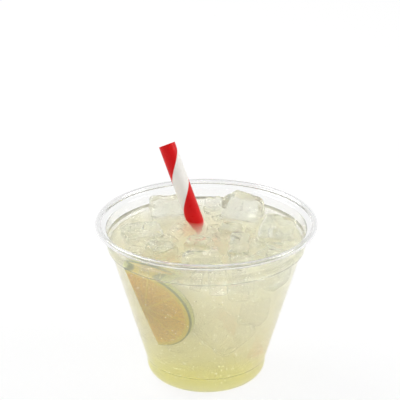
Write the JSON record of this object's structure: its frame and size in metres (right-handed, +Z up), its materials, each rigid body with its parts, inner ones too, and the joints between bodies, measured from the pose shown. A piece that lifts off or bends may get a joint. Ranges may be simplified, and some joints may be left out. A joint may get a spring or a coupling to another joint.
{
  "type": "iced lemonade in a clear cup",
  "caption": "Clear tapered cold cup with a rolled rim, filled with pale cloudy lemonade and ice, with a lime slice and a striped paper straw.",
  "frame": {"origin": "centre of the cup's base, on the surface it stands on", "axes": "+Z up through the cup's axis, -Y the front where the lime slice leans on the wall, +X to the right seen from the front"},
  "size_m": [0.098, 0.098, 0.1007],
  "materials": {
    "clear_plastic": "clear, glossy thermoformed film",
    "lemonade": "cloudy pale yellow-green liquid",
    "ice": "wet clear ice with melted edges",
    "striped_paper": "smooth paper with a red and white spiral stripe",
    "lime": "wet yellow flesh, pale pith and green rind"
  },
  "bodies": {
    "root": {"cup": "clear_plastic", "drink": "lemonade", "straw": "striped_paper", "lime_slice": "lime", "ice_back_left": "ice", "ice_back_middle": "ice", "ice_back_right": "ice", "ice_right": "ice", "ice_right_front": "ice", "ice_middle_right": "ice", "ice_front": "ice", "ice_left": "ice", "ice_left_front": "ice", "ice_middle": "ice", "ice_middle_back": "ice"}
  },
  "joints": []
}
